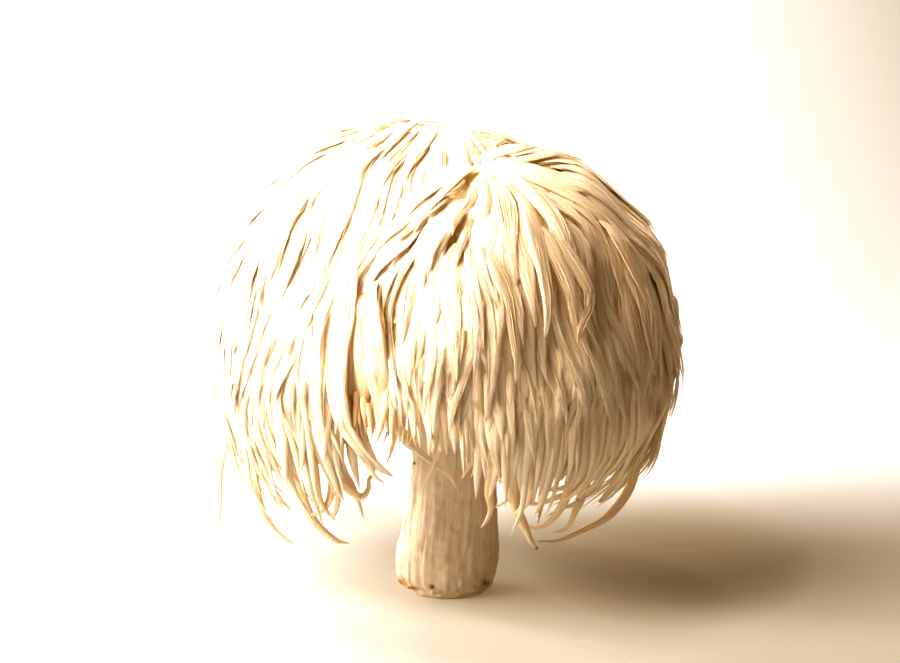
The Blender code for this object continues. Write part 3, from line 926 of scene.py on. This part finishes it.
# Spines that stand out on their own: (radii at root, middle and tip), (first and last depth),
# then spots down each as (across, up), in mm
singleSpines = {
    "crossingShort": ((1.2, 0.6, 0.12), (-40.0, -30.0), (
        (-0.3, 68.1), (-0.6, 61.4), (-0.6, 57.1), (-2.0, 51.5), (-4.0, 45.7), (-5.6, 42.0), (-6.5, 38.2))),
    "forkLeft": ((1.4, 0.85, 0.15), (-36.0, -28.0), (
        (11.1, 70.3), (10.2, 63.3), (9.2, 57.0), (7.9, 50.7), (7.5, 46.8), (5.3, 43.1), (4.3, 40.8))),
    "forkRight": ((1.4, 0.8, 0.15), (-36.0, -28.0), (
        (11.1, 70.3), (10.3, 63.3), (9.3, 57.0), (8.1, 50.7), (8.2, 46.8), (8.1, 44.1), (6.9, 41.2))),
    "besideStem": ((2.2, 1.15, 0.2), (-38.0, -26.0), (
        (14.8, 69.2), (14.8, 56.4), (13.7, 48.6), (12.9, 42.3), (12.2, 37.2), (12.9, 32.8), (12.0, 29.0),
        (10.1, 25.8))),
    "speckTip": ((2.3, 1.3, 0.3), (-40.0, -24.0), (
        (19.6, 66.7), (20.0, 49.2), (19.4, 40.7), (20.1, 33.4), (22.5, 27.5), (24.6, 22.0), (26.4, 18.9))),
    "rightLongest": ((2.0, 1.5, 0.3), (8.0, -6.0), (
        (61.5, 49.4), (60.4, 43.7), (57.5, 37.1), (55.3, 30.5), (51.7, 25.3), (47.5, 21.6), (40.5, 18.6),
        (33.6, 15.9), (27.7, 16.3))),
    "rightInner": ((1.9, 1.4, 0.3), (-6.0, -12.0), (
        (55.7, 50.9), (53.9, 42.6), (52.4, 38.8), (49.7, 34.3), (46.9, 31.0), (45.5, 29.9))),
    "sweepLeftLow": ((1.8, 1.1, 0.2), (-26.0, -20.0), (
        (37.1, 47.8), (36.0, 38.4), (34.0, 32.0), (30.1, 26.4), (26.1, 24.3), (22.8, 25.2))),
    "hookLow": ((1.6, 0.8, 0.2), (-20.0, -16.0), (
        (41.2, 42.1), (39.6, 33.0), (38.0, 28.7), (36.3, 24.4), (33.7, 22.2), (31.4, 21.5))),
    "sweepMid": ((1.5, 0.7, 0.15), (-18.0, -22.0), (
        (46.6, 43.1), (44.3, 36.4), (40.2, 33.2), (35.5, 30.7), (29.4, 28.3))),
    "arcHigh": ((1.5, 0.8, 0.15), (-30.0, -26.0), (
        (42.9, 53.1), (41.1, 44.8), (37.8, 40.6), (32.5, 37.7), (27.9, 38.2), (25.2, 39.7))),
    "arcMid": ((1.5, 0.75, 0.15), (-24.0, -22.0), (
        (41.5, 44.4), (38.6, 36.8), (32.7, 34.3), (27.3, 32.2), (23.4, 32.4), (22.1, 33.7))),
    "arcStem": ((1.5, 0.8, 0.15), (-32.0, -22.0), (
        (27.0, 53.5), (25.8, 44.9), (23.3, 39.6), (19.4, 37.7), (14.7, 39.1))),
    "behindDrop": ((1.8, 1.2, 0.4), (14.0, 12.0), (
        (30.6, 34.1), (29.5, 26.5), (28.7, 21.8), (28.0, 17.3))),
    "flickStem": ((1.4, 0.7, 0.15), (-28.0, -22.0), (
        (20.2, 45.3), (19.3, 37.3), (17.7, 33.5), (14.0, 30.7))),
    "tipUp": ((1.0, 0.6, 0.12), (6.0, 2.0), (
        (52.9, 40.6), (55.3, 36.9), (58.8, 39.3), (61.6, 43.8), (62.0, 47.4))),
    "leftOutermost": ((1.3, 0.8, 0.15), (4.0, 2.0), (
        (-61.5, 62.5), (-62.6, 56.8), (-63.1, 51.9), (-65.5, 45.9), (-68.1, 39.9), (-69.0, 32.8),
        (-69.0, 26.2), (-69.3, 22.6), (-68.5, 19.6))),
    "leftLong": ((2.0, 1.2, 0.2), (-6.0, -10.0), (
        (-60.7, 66.1), (-58.8, 51.7), (-58.0, 42.9), (-57.5, 34.1), (-55.7, 27.0), (-52.7, 21.8),
        (-49.2, 18.4), (-45.9, 16.3))),
    "leftShort": ((1.8, 1.1, 0.15), (-12.0, -12.0), (
        (-53.4, 55.2), (-53.1, 46.9), (-53.1, 39.2), (-52.5, 33.4), (-50.2, 28.6))),
    "leftThick": ((2.3, 1.6, 0.25), (-20.0, -16.0), (
        (-51.1, 64.3), (-49.1, 55.6), (-46.8, 46.1), (-43.9, 36.6), (-41.1, 28.2), (-37.1, 22.8),
        (-32.4, 19.1), (-29.3, 18.3))),
    "leftCurve": ((1.8, 0.9, 0.2), (-24.0, -20.0), (
        (-41.2, 56.2), (-39.6, 47.0), (-38.5, 40.4), (-37.4, 33.3), (-35.1, 28.9), (-33.1, 26.5))),
    "leftHookBack": ((1.9, 1.1, 0.2), (-22.0, -20.0), (
        (-34.1, 51.4), (-33.9, 42.0), (-33.7, 37.3), (-35.1, 31.9), (-37.5, 29.1), (-40.6, 27.8))),
    "leftHookSmall": ((1.5, 0.8, 0.2), (-24.0, -22.0), (
        (-31.7, 48.9), (-32.1, 39.0), (-32.2, 32.4), (-33.2, 28.7), (-34.5, 28.1))),
    "leftSpike": ((1.7, 0.9, 0.15), (-28.0, -24.0), (
        (-33.8, 52.6), (-31.4, 45.0), (-28.0, 39.0), (-25.8, 32.9), (-24.5, 27.9))),
    "loop": ((1.7, 0.75, 0.15), (-30.0, -27.0), (
        (-37.7, 53.1), (-34.7, 46.1), (-30.2, 39.7), (-26.8, 36.4), (-24.5, 35.8), (-22.9, 38.0),
        (-22.8, 40.6), (-21.4, 42.2), (-21.1, 43.8))),
    "gapRight": ((1.4, 0.9, 0.15), (10.0, 6.0), (
        (-17.9, 58.2), (-16.8, 51.4), (-15.9, 46.7), (-17.0, 41.4), (-18.5, 37.4))),
    "leftTuftA": ((1.5, 0.8, 0.12), (-14.0, -14.0), (
        (-52.7, 54.2), (-51.2, 46.8), (-50.0, 42.0), (-48.0, 39.2))),
    "leftTuftB": ((1.5, 0.8, 0.12), (-20.0, -20.0), (
        (-42.3, 55.4), (-39.8, 47.5), (-36.9, 43.4), (-34.6, 41.1))),
    "leftTuftC": ((1.5, 0.8, 0.12), (-16.0, -16.0), (
        (-48.7, 62.0), (-47.6, 54.9), (-47.0, 50.8), (-45.5, 46.9))),
    "rightEdgeTip": ((1.6, 0.9, 0.12), (-8.0, -8.0), (
        (66.8, 90.5), (68.1, 81.5), (69.5, 77.4), (67.1, 71.9))),
    "rightEdgeLow": ((1.4, 0.8, 0.12), (-6.0, -6.0), (
        (67.0, 78.1), (65.6, 68.8), (66.4, 63.6), (67.0, 59.7))),
    "speckSpine": ((1.3, 0.7, 0.12), (-42.0, -40.0), (
        (2.3, 67.0), (1.4, 59.7), (1.4, 56.1), (2.3, 53.1))),
}


# Broad flat locks set one by one, and the smooth sheets inside the hollow on the left: radii as above,
# how much painted shade tints them, then (across, depth, up)
placedLocks = {
    "browLock": ((2.0, 1.4, 0.15), 0.2, (
        (22.7, -44.8, 121.4), (24.8, -50.9, 114.4), (26.6, -55.8, 106.7), (27.9, -59.6, 98.9),
        (27.8, -62.1, 93.2), (27.0, -63.3, 89.0))),
    "browSide": ((2.1, 1.3, 0.15), 0.3, (
        (28.2, -48.3, 115.4), (31.4, -52.7, 108.5), (34.6, -55.8, 101.1), (35.7, -57.8, 93.6),
        (37.9, -59.1, 87.1), (40.4, -59.3, 81.5))),
    "shoulderLock": ((2.1, 1.4, 0.15), 0.3, (
        (46.8, -35.7, 115.1), (50.7, -38.7, 108.4), (54.0, -40.7, 101.5), (57.5, -40.8, 95.0),
        (59.2, -41.1, 90.4))),
    "forkLock": ((1.9, 1.1, 0.15), 0.3, (
        (31.6, -48.2, 114.0), (36.5, -51.5, 106.6), (39.8, -53.4, 100.2), (39.1, -55.8, 94.9),
        (36.8, -59.0, 90.4), (35.9, -60.1, 86.4))),
    "frontLock": ((2.0, 1.2, 0.15), 0.3, (
        (12.5, -55.1, 108.8), (16.3, -58.6, 101.5), (17.9, -61.7, 93.7), (19.0, -63.3, 85.7),
        (19.6, -63.6, 80.4), (19.0, -63.6, 76.5))),
    "leftFrontLock": ((3.8, 2.4, 0.2), 0.3, (
        (-26.8, -39.2, 106.5), (-28.7, -42.2, 96.1), (-30.7, -44.2, 84.9), (-31.4, -44.6, 73.3),
        (-29.8, -44.3, 62.0), (-25.4, -43.2, 54.0), (-19.8, -41.3, 47.6), (-15.3, -39.6, 44.2))),
    "leftFrontFork": ((1.8, 1.2, 0.15), 0.4, (
        (-28.6, -43.0, 62.0), (-25.6, -42.5, 53.8), (-22.4, -41.0, 48.6), (-20.8, -39.6, 44.5),
        (-17.7, -38.0, 41.8))),
    "crossingLong": ((3.2, 1.5, 0.2), 0.3, (
        (-21.0, -46.4, 99.4), (-20.9, -49.8, 91.5), (-20.4, -50.8, 83.4), (-19.0, -49.6, 74.6),
        (-16.6, -46.4, 65.8), (-14.5, -41.0, 59.0), (-9.9, -36.0, 52.1), (-4.6, -32.0, 46.9),
        (0.7, -29.0, 41.9), (2.8, -27.0, 37.6))),
    # Painted shade: the smooth sheets in the hollow carry full or nearly full painted shade
    "shadedSheetA": ((3.2, 2.8, 0.4), 1.0, (
        (-28.2, -42.4, 96.1), (-28.5, -43.1, 89.1), (-28.5, -43.9, 82.0), (-28.3, -43.3, 75.6),
        (-28.1, -42.3, 70.2), (-27.6, -41.4, 65.0))),
    "shadedSheetB": ((3.0, 2.8, 0.4), 1.0, (
        (-24.5, -43.3, 96.2), (-24.7, -45.0, 89.4), (-24.4, -46.3, 81.9), (-24.2, -45.8, 75.2),
        (-23.7, -44.9, 69.3), (-23.2, -44.0, 64.2))),
    "shadedSheetC": ((3.2, 3.0, 0.4), 1.0, (
        (-21.0, -47.1, 95.4), (-20.7, -49.0, 88.7), (-20.4, -49.9, 80.9), (-19.9, -49.4, 74.6),
        (-19.1, -48.2, 68.7), (-18.4, -47.0, 64.0))),
    "shadedSheetLow": ((3.8, 3.0, 0.5), 0.9, (
        (-29.0, -34.0, 70.0), (-28.2, -33.5, 62.0), (-26.0, -32.5, 55.5), (-23.2, -31.5, 50.0),
        (-20.4, -30.5, 46.0))),
    "recessCurl": ((1.2, 0.7, 0.12), 0.4, (
        (7.6, -40.0, 127.0), (6.4, -43.8, 123.4), (4.2, -46.4, 121.4), (2.2, -48.4, 119.2),
        (1.6, -50.6, 115.6))),
}


# How the lines through the marks are run: spots on each, where they look outwards from, how thick they start,
# and how far they are tucked into the mane
# Each spine gets a share of painted shade at its root, set below; the locks take theirs from their own table
spineLine = {
    "points": 26, "centre": (2, 0, 45), "start": 0.3, "tuck": 6, "paintedShade": 0.5,
    "grow": dict(plainLock, Sides=10, Flatness=0.8, Flutes=0.25, Strands=0, Seed=12),
}
lockLine = {
    "points": 24, "centre": (2, 0, 75), "start": 0.08, "tuck": 6.5,
    "grow": dict(plainLock, Sides=14, Flatness=0.2, Flutes=0.6, Strands=16, Seed=14),
}


# Marks across and up, whose depth changes evenly from the first to the last
def evenDepths(depths, marks):
    return [(x, y, z) for (x, z), y in zip(marks, np.round(np.linspace(*depths, len(marks)), 1))]


# Runs a smooth line through each row of marks, starting a little inside the mane.
def throughMarks(table, line):
    points, centre = line["points"], np.array(line["centre"], float)
    share = np.linspace(0, 1, points)
    spots, radius, paintedShade = [], [], []
    for (root, middle, tip), paintedShadeShare, marks in table:
        marks = np.array(marks, float)
        inward = unit(centre - marks[0]) * line["tuck"] + (0, 0, line["tuck"])
        marks = np.concatenate([[marks[0] + inward], marks])
        before, after = 2 * marks[0] - marks[1], 2 * marks[-1] - marks[-2]
        knots = np.concatenate([[before], marks, [after]])
        at = np.linspace(0, len(marks) - 1.0001, points)
        low = at.astype(int)
        part = (at - low)[:, None]
        a, b, c, d = (knots[low + n] for n in range(4))
        smooth = 2 * b + (c - a) * part + (2 * a - 5 * b + 4 * c - d) * part**2
        smooth = smooth + (3 * b - a - 3 * c + d) * part**3
        spots.append(smooth / 2)
        sizes = (root * line["start"], root * 1.15, middle * 1.2, middle * 0.5, tip)
        radius.append(np.interp(share, (0, 0.28, 0.6, 0.93, 1), sizes))
        # Painted shade: each line starts with its listed share and ends with half of it
        paintedShade.append(np.linspace(paintedShadeShare, paintedShadeShare * 0.5, points))
    spots, radius = np.stack(spots), np.stack(radius)
    tone = np.linspace(0.1, 0.9, len(spots))[:, None]
    full = np.max(radius, axis=1)[:, None]
    return guideSet(spots, unit(spots - centre), radius, full, np.stack(paintedShade), tone)


# The short points along the lower edge of the smooth sheets
edgeFringe = {
    "seed": 41, "count": 34, "from": (-31, -40.5, 69), "to": (-14, -50.5, 69), "scatter": 0.9,
    "way": (0.05, -0.02, -1), "splay": 0.10, "length": (7, 11.5), "radius": (0.8, 1.3), "tipRadius": 0.08,
    "points": 8,
}


def edgeFringeGuides():
    draw = np.random.default_rng(edgeFringe["seed"])
    count, points = edgeFringe["count"], edgeFringe["points"]
    share = np.linspace(0, 1, count)[:, None]
    roots = np.array(edgeFringe["from"]) * (1 - share) + np.array(edgeFringe["to"]) * share
    roots = roots + draw.normal(0, edgeFringe["scatter"], roots.shape)
    along = np.linspace(0, 1, points)
    lengths = draw.uniform(*edgeFringe["length"], (count, 1, 1))
    drift = draw.normal(0, edgeFringe["splay"], (count, 1, 3)) + edgeFringe["way"]
    spots = roots[:, None, :] + drift * lengths * along[None, :, None]
    full = draw.uniform(*edgeFringe["radius"], (count, 1))
    radius = full * np.interp(along, (0, 0.2, 0.6, 1), (0.5, 1, 0.8, 0.08))
    outward = unit(spots * (1, 1, 0) + (0, 0, 0.01))
    # Painted shade: darker and warmer towards the roots
    return guideSet(spots, outward, np.maximum(radius, edgeFringe["tipRadius"]), full, 1 - 0.3 * along,
                    draw.uniform(0, 0.8, (count, 1)))


# The camera, the key light, the weak fill and the grade
studio = {
    "target": (0.0009, 0.0, 0.0796), "distance": 0.75, "lookDown": 10.0, "lens": 100.0, "sensor": 36,
    "keyFrom": (-0.62, -0.36, 0.745), "keyDistance": 0.62, "keySize": 0.42, "keyPower": 8.7,
    "lightColour": (1.0, 0.785, 0.63),
    "fillColour": (1.0, 0.70, 0.46, 1), "fillStrength": 0.019,
    "shadeWarmth": (1.0, 1.13, 1.32),
}

# The other lights, by where they stand: each is small or narrow, and brightens one place
studioLights = {
    "side": {"spot": (-0.62, 0.12, 0.20), "target": (0, 0, 0.07), "size": 0.90, "power": 6.5},
    "near": {"spot": (-0.17, -0.05, 0.17), "target": (-0.065, 0, 0.15), "size": 0.14, "power": 0.6,
             "spread": 60},
    "top": {"spot": (-0.02, 0.02, 0.40), "target": (-0.01, 0, 0.13), "size": 0.10, "power": 0.03,
            "spread": 26},
    "crest": {"spot": (0.17, 0.10, 0.21), "target": (0.05, -0.01, 0.115), "size": 0.08, "power": 0.023,
              "spread": 42},
    "edge": {"spot": (-0.30, 0.10, 0.03), "target": (-0.005, 0, 0.025), "size": 0.05, "power": 0.014,
             "spread": 16},
    "behind": {"spot": (-0.25, 0.20, 0.10), "target": (-0.05, 0, 0.06), "size": 0.10, "power": 0.08,
               "spread": 30},
    "bounce": {"spot": (0.32, -0.20, 0.04), "target": (0.03, 0, 0.06), "size": 0.30, "power": 0.03},
}

# The floor and its curved backdrop, in metres. It glows white far off and at the left, as the photo's does,
# less towards the right corner, and its colour and glow are dimmed round the heart of the shadow.
# The glow is painted light and the darker patch round the heart of the shadow is a painted shadow, both set
# by place and not by the lamps.
backdrop = {
    "width": 3.0, "behind": 0.9, "before": 1.2, "rise": 1.6, "bendRadius": 0.5, "bendSteps": 12,
    "surface": {"Roughness": 0.9, "Specular IOR Level": 0.1},
    "far": (-0.05, 0.30), "farByLeft": (0.05, -0.3, 1.0, 1.8), "left": (0.015, -0.22, 0.0, 1.9),
    "beyond": (0.32, 0.55, 1.0, 0.0), "corner": (0.10, 0.29), "cornerRise": (0.0, 0.2, 0.8, 1.0),
    "paintedShadowMiddle": (0.070, 0.044), "paintedShadowReach": (0.024, 0.044), "paintedShadowEnd": 4.0,
    "paintedLightLift": 0.15, "paintedLightEnds": (0.15, 0.6), "glowStrength": 1.12,
    "floorColour": (0.40, 0.43, 0.445, 1), "paintedShadowColour": (0.31, 0.285, 0.235, 1),
    "paintedLightColour": (1.0, 0.76, 0.54, 1), "glow": (1.0, 0.94, 0.87, 1), "glowEdge": (0.38, 0.32, 0.26, 1),
}


def backdropMaterial():
    look = backdrop
    material, tree, shader = newMaterial("paleFloor", look["surface"])
    place = addNode(tree, "ShaderNodeSeparateXYZ", {"Vector": objectPlace(tree)}).outputs
    x, y, z = (place[axis] for axis in "XYZ")
    # Painted light: the glow is brightest far back and at the left, where light falls strongest, and fades
    # out at the sides
    values = {"Value": y, "From Min": look["far"][0], "From Max": look["far"][1]}
    far = outputOf(tree, "ShaderNodeMapRange", values, interpolation_type="SMOOTHERSTEP")
    far = times(tree, far, mapRange(tree, x, *look["farByLeft"]))
    bright = maths(tree, "MAXIMUM", far, mapRange(tree, x, *look["left"]))
    # Painted shadow: the floor's colour darkens and warms towards the heart of the mushroom's shadow
    squares = []
    for axis, middle, reach in zip((x, y), look["paintedShadowMiddle"], look["paintedShadowReach"]):
        away = maths(tree, "DIVIDE", maths(tree, "SUBTRACT", axis, middle), reach)
        squares.append(maths(tree, "POWER", away, 2.0))
    offPaintedShadow = maths(tree, "ADD", *squares)
    # Painted light: a faint warm glow that rises away from the shadow's heart, narrowing the shadow
    lift = mapRange(tree, offPaintedShadow, 0.0, look["paintedShadowEnd"], 0.0, look["paintedLightLift"])
    ground = mixColour(tree, mapRange(tree, offPaintedShadow, 0.0, look["paintedShadowEnd"]), look["paintedShadowColour"],
                       look["floorColour"])
    plug(tree, ground, shader.inputs["Base Color"])
    # Painted light falloff: the glow turns dimmer and warmer towards the top right corner
    corner = times(tree, mapRange(tree, x, *look["corner"]), mapRange(tree, z, *look["cornerRise"]))
    glowColour = mixColour(tree, corner, look["glow"], look["glowEdge"])
    glowColour = mixColour(tree, mapRange(tree, bright, *look["paintedLightEnds"]), look["paintedLightColour"], glowColour)
    plug(tree, glowColour, shader.inputs["Emission Color"])
    beyond = mapRange(tree, maths(tree, "ABSOLUTE", x), *look["beyond"])
    glow = times(tree, maths(tree, "MAXIMUM", bright, lift), beyond)
    plug(tree, times(tree, glow, look["glowStrength"]), shader.inputs["Emission Strength"])
    return material


def makeStage():
    behind, bend, half = backdrop["behind"], backdrop["bendRadius"], backdrop["width"] / 2
    profile = [(-backdrop["before"], 0.0)]
    for step in range(backdrop["bendSteps"] + 1):
        turn = math.radians(90 * step / backdrop["bendSteps"])
        profile.append((behind - bend + bend * math.sin(turn), bend - bend * math.cos(turn)))
    profile.append((behind, backdrop["rise"]))
    spots = [(x, y, z) for y, z in profile for x in (-half, half)]
    faces = [(2 * n, 2 * n + 1, 2 * n + 3, 2 * n + 2) for n in range(len(profile) - 1)]
    mesh = bpy.data.meshes.new("backdrop")
    mesh.from_pydata(spots, [], faces)
    mesh.shade_smooth()
    mesh.materials.append(backdropMaterial())
    floor = bpy.data.objects.new("backdrop", mesh)
    bpy.context.scene.collection.objects.link(floor)
    print("backdrop: stage")


def areaLight(name, spot, target, size, power, spread=180):
    data = bpy.data.lights.new(name, "AREA")
    data.shape = "DISK"
    data.size = size
    data.energy = power
    data.spread = math.radians(spread)
    data.color = studio["lightColour"]
    light = bpy.data.objects.new(name, data)
    light.location = spot
    light.rotation_euler = (Vector(target) - Vector(spot)).to_track_quat("-Z", "Y").to_euler()
    light.visible_camera = False
    bpy.context.scene.collection.objects.link(light)


# Deepens and warms the shade a little, and leaves white as it is.
def gradeShade(scene):
    scene.use_nodes = True
    tree = scene.node_tree
    tree.nodes.clear()
    picture = tree.nodes.new("CompositorNodeRLayers")
    grade = tree.nodes.new("CompositorNodeColorBalance")
    grade.correction_method = "OFFSET_POWER_SLOPE"
    grade.power = studio["shadeWarmth"]
    shown = tree.nodes.new("CompositorNodeComposite")
    tree.links.new(picture.outputs["Image"], grade.inputs["Image"])
    tree.links.new(grade.outputs["Image"], shown.inputs["Image"])


def makeStudio():
    scene = bpy.context.scene
    target = Vector(studio["target"])
    key = target + Vector(studio["keyFrom"]).normalized() * studio["keyDistance"]
    areaLight("key", key, target, studio["keySize"], studio["keyPower"])
    for name, light in studioLights.items():
        areaLight(name, **light)
    world = bpy.data.worlds.new("studioFill")
    scene.world = world
    world.use_nodes = True
    fill = world.node_tree.nodes["Background"].inputs
    fill["Color"].default_value = studio["fillColour"]
    fill["Strength"].default_value = studio["fillStrength"]
    camera = bpy.data.objects.new("camera", bpy.data.cameras.new("camera"))
    camera.data.lens = studio["lens"]
    camera.data.sensor_width = studio["sensor"]
    tilt = math.radians(studio["lookDown"])
    back = Vector((0, -math.cos(tilt), math.sin(tilt)))
    camera.location = target + back * studio["distance"]
    camera.rotation_euler = (-back).to_track_quat("-Z", "Y").to_euler()
    scene.collection.objects.link(camera)
    scene.camera = camera
    scene.view_settings.view_transform = "Standard"
    gradeShade(scene)


fibreGroup = buildFibreGroup()
tuftTree = buildTuftTree()
makeStem(stemMaterial(fibreGroup))
makeFlesh(fleshMaterial(fibreGroup))
makeMane(tuftTree, spineMaterial(fibreGroup))
soilCrumb = crumbMaterial()
makeCrumbs("stem_crumbs", crumbs["stem"], "stem", soilCrumb)
makeCrumbs("tip_crumb", crumbs["mane"], "cap", soilCrumb)
makeStage()
makeStudio()
